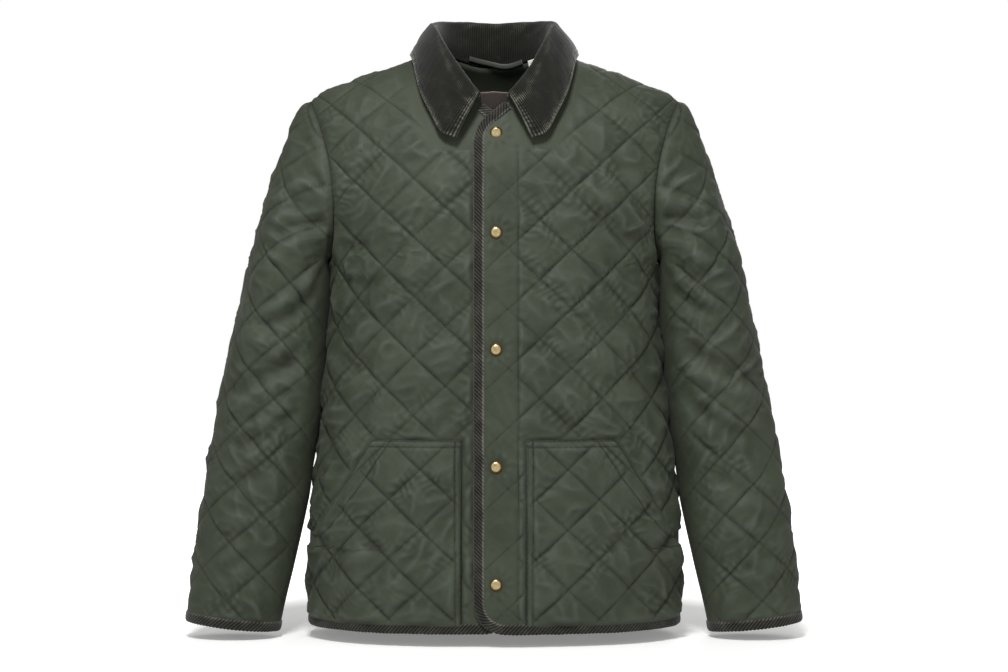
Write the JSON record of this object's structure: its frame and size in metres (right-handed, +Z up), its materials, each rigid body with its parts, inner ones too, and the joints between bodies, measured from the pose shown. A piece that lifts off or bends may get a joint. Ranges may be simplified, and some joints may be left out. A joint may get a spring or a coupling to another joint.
{
  "type": "quilted jacket",
  "caption": "Diamond-quilted jacket with a turned-down corduroy collar, snap front, patch pockets and corduroy binding, filled out as worn.",
  "frame": {"origin": "inside the neck at the height of the nape, where the wearer's shoulders carry the jacket", "axes": "+Z up, -Y the jacket's front, +X the wearer's left"},
  "size_m": [0.763, 0.2436, 0.7644],
  "materials": {
    "quilted_cloth": "soft sheen nylon, olive green",
    "corduroy": "ribbed pile, worn at the edges, near-black olive",
    "neck_tape": "woven tape, brown",
    "label": "woven satin, off-white",
    "snap_brass": "aged brushed brass"
  },
  "bodies": {
    "root": {"back": "quilted_cloth", "front_left": "quilted_cloth", "front_right": "quilted_cloth", "sleeve_left": "quilted_cloth", "sleeve_right": "quilted_cloth", "pocket_left": "quilted_cloth", "pocket_right": "quilted_cloth", "collar": "corduroy", "edge_binding": "corduroy", "cuff_binding_left": "corduroy", "cuff_binding_right": "corduroy", "neck_tape": "neck_tape", "hanger_loop": "quilted_cloth", "size_label": "label", "snap_1": "snap_brass", "snap_2": "snap_brass", "snap_3": "snap_brass", "snap_4": "snap_brass", "snap_5": "snap_brass"}
  },
  "joints": []
}
